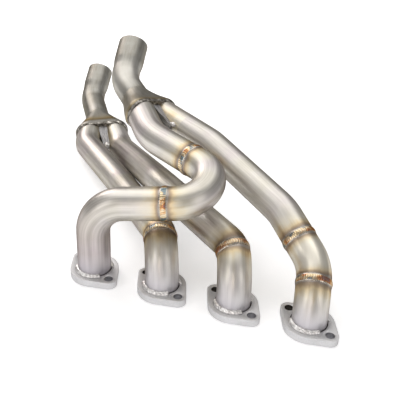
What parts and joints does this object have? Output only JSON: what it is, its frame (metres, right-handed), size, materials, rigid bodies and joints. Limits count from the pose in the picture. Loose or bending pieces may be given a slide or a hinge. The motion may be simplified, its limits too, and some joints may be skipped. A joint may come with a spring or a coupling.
{
  "type": "motorcycle exhaust header",
  "caption": "Tubular stainless exhaust header: bent primaries on two-bolt port flanges, joined in pairs by merge collectors with angled slip-fit outlets.",
  "frame": {"origin": "centre of port 1 on its flange's sealing face, where the axis of the tube meets the face", "axes": "+X runs along the row of ports from port 1 to port 4, +Z points away from the cylinder head, out of the port faces, and +Y points from the ports toward the collectors"},
  "size_m": [0.5811, 0.5369, 0.2293],
  "materials": {
    "tube_steel": "satin mandrel-bent stainless tube with straw tint near the welds",
    "collector_steel": "satin formed stainless sheet and pipe",
    "flange_steel": "matt cut plate with lightly rounded edges",
    "filler_steel": "brushed strip",
    "weld_metal": "rippled weld bead with heat colours"
  },
  "bodies": {
    "root": {"flange_1": "flange_steel", "flange_1_front_weld": "weld_metal", "flange_1_rear_weld": "weld_metal", "flange_2": "flange_steel", "flange_2_front_weld": "weld_metal", "flange_2_rear_weld": "weld_metal", "flange_3": "flange_steel", "flange_3_front_weld": "weld_metal", "flange_3_rear_weld": "weld_metal", "flange_4": "flange_steel", "flange_4_front_weld": "weld_metal", "flange_4_rear_weld": "weld_metal", "left_collector": "collector_steel", "left_lower_filler": "filler_steel", "left_mouth_weld": "weld_metal", "left_outlet": "collector_steel", "left_upper_filler": "filler_steel", "primary_1_elbow": "tube_steel", "primary_1_run": "tube_steel", "primary_1_u_bend": "tube_steel", "primary_1_weld_1": "weld_metal", "primary_1_weld_2": "weld_metal", "primary_2_elbow": "tube_steel", "primary_2_run": "tube_steel", "primary_2_weld_1": "weld_metal", "primary_3_elbow": "tube_steel", "primary_3_run": "tube_steel", "primary_3_weld_1": "weld_metal", "primary_4_elbow": "tube_steel", "primary_4_link": "tube_steel", "primary_4_run": "tube_steel", "primary_4_weld_1": "weld_metal", "primary_4_weld_2": "weld_metal", "right_collector": "collector_steel", "right_lower_filler": "filler_steel", "right_mouth_weld": "weld_metal", "right_outlet": "collector_steel", "right_upper_filler": "filler_steel"}
  },
  "joints": []
}
